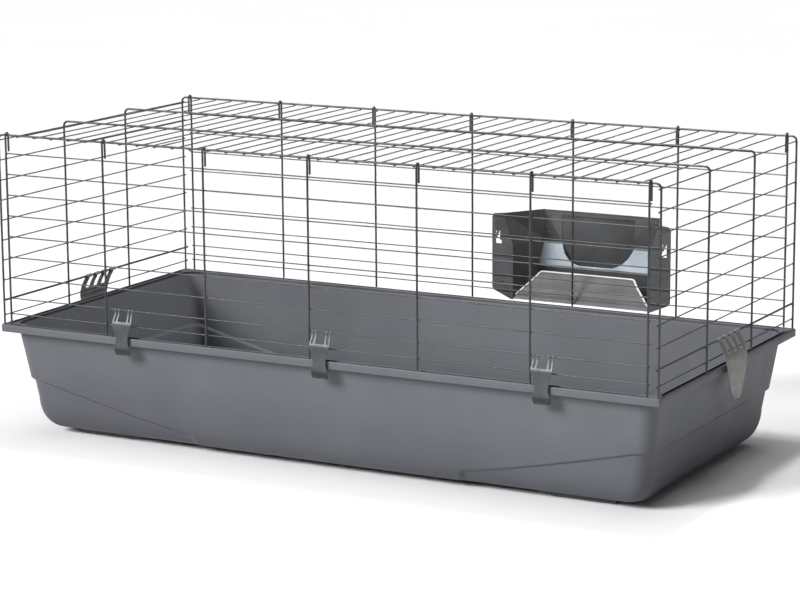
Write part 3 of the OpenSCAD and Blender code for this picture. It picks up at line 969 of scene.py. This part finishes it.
def spot_dimple(verts, faces, centre, outward, radius, height):
    """Low round dome left by a spot weld."""
    side = outward.orthogonal().normalized()
    other = outward.cross(side)
    count = 16
    start = len(verts)
    for share, lift in ((1.0, -0.05), (0.86, 0.55), (0.6, 0.9), (0.45, 0.35)):
        for j in range(count):
            a = 2 * math.pi * j / count
            ring = side * math.cos(a) + other * math.sin(a)
            verts.append(centre + ring * radius * share * MM + outward * height * lift * MM)
    verts.append(centre + outward * height * 0.25 * MM)
    middle = len(verts) - 1
    for r in range(3):
        for j in range(count):
            n = (j + 1) % count
            a = start + r * count
            faces.append((a + j, a + n, a + count + n, a + count + j))
    for j in range(count):
        faces.append((start + 3 * count + j, start + 3 * count + (j + 1) % count, middle))


def rack_spot_welds():
    verts, faces = [], []
    back_half = LOW_HALF - 16.5
    toward_cage = Vector((0, -1, 0))
    for x in (-back_half + 10, back_half - 10):
        for z in (104, 134):
            centre = rack_point(x, RACK_DEPTH - RACK_SHEET / 2, z)
            spot_dimple(verts, faces, centre, toward_cage, 3.4, 0.7)
    for side in (-1, 1):
        for z in (30, 128):
            spot_dimple(verts, faces, rack_point(side * FLANGE_X, 0, z), toward_cage, 3.0, 0.35)
    add_piece("rack_spot_welds", verts, faces, RACK, "hay_rack")


sheet_copy("rack_trough", "rack_trough_sheet", 0.5)
sheet_copy("rack_left_side", "rack_left_side_sheet", 0.45)
sheet_copy("rack_right_side", "rack_right_side_sheet", 0.45)
# The tongue's material is painted shade: the rack colour made a little darker
sheet_copy("rack_tongue", "rack_tongue_sheet", 0.4, SCOOP_SHADED)
lip_bead()
rack_spot_welds()

# ------------------------------------------------------------------ stage, light and camera


def floor_material():
    s = Shader("studio_floor", 0.9, specular=0.1)
    cloud = s.span(s.noise(0.7, 2), 0, 1, 0.3, 0.7)
    s.color(s.blend(cloud, (0.94, 0.94, 0.94, 1), (0.96, 0.96, 0.96, 1)))
    return s.mat


FLOOR_HALF = 60.0
WORLD_STRENGTH = 0.12


def studio_floor():
    e = FLOOR_HALF
    mesh = bpy.data.meshes.new("studio_floor")
    mesh.from_pydata([(-e, -e, 0), (e, -e, 0), (e, e, 0), (-e, e, 0)], [], [(0, 1, 2, 3)])
    mesh.materials.append(floor_material())
    floor = bpy.data.objects.new("studio_floor", mesh)
    bpy.context.scene.collection.objects.link(floor)


def studio_world():
    world = bpy.data.worlds.new("studio")
    world.use_nodes = True
    background = world.node_tree.nodes["Background"]
    background.inputs["Color"].default_value = (0.95, 0.97, 1.0, 1)
    background.inputs["Strength"].default_value = WORLD_STRENGTH
    bpy.context.scene.world = world


def aim(obj, target):
    obj.rotation_euler = (Vector(target) - obj.location).to_track_quat("-Z", "Y").to_euler()


def sun(name, direction, strength, angle):
    light = bpy.data.lights.new(name, "SUN")
    light.energy = strength
    light.angle = math.radians(angle)
    obj = bpy.data.objects.new(name, light)
    obj.location = Vector(direction) * 5
    bpy.context.scene.collection.objects.link(obj)
    aim(obj, (0, 0, 0))


def softbox(name, location, target, width, height, power):
    light = bpy.data.lights.new(name, "AREA")
    light.shape = "RECTANGLE"
    light.size, light.size_y = width, height
    light.energy = power
    obj = bpy.data.objects.new(name, light)
    obj.location = location
    bpy.context.scene.collection.objects.link(obj)
    aim(obj, target)


YAW = math.radians(28.598)
PITCH = math.radians(11.313)
ROLL = math.radians(-0.350)
FOCAL_SHARE = 3.4235
SENSOR = 36
CAMERA_PLACE = (2.1085, MIDDLE_Y - 3.8512, 0.9222 + TUB_HEIGHT * MM)


def photo_camera():
    """Camera at the photograph's angle; FOCAL_SHARE is the focal length over the sensor's width."""
    forward = Vector((-math.sin(YAW) * math.cos(PITCH), math.cos(YAW) * math.cos(PITCH),
                      -math.sin(PITCH)))
    level = Vector((math.cos(YAW), math.sin(YAW), 0))
    upright = level.cross(forward)
    right = level * math.cos(ROLL) + upright * math.sin(ROLL)
    up = upright * math.cos(ROLL) - level * math.sin(ROLL)
    data = bpy.data.cameras.new("camera")
    data.sensor_width = SENSOR
    data.lens = SENSOR * FOCAL_SHARE
    data.clip_end = 200
    camera = bpy.data.objects.new("camera", data)
    turn = Matrix((right, up, -forward)).transposed().to_4x4()
    camera.matrix_world = Matrix.Translation(CAMERA_PLACE) @ turn
    bpy.context.scene.collection.objects.link(camera)
    bpy.context.scene.camera = camera


studio_floor()
studio_world()
sun("key_sun", (-0.5, -0.8, 0.55), 4.2, 26)
sun("top_sun", (0.0, 0.1, 1.0), 0.9, 45)
softbox("tub_box", (0.4, MIDDLE_Y + 0.17, 1.0), (-0.6, MIDDLE_Y - 0.05, 0.1), 0.3, 0.2, 13)
photo_camera()
bpy.context.scene.view_settings.view_transform = "Standard"
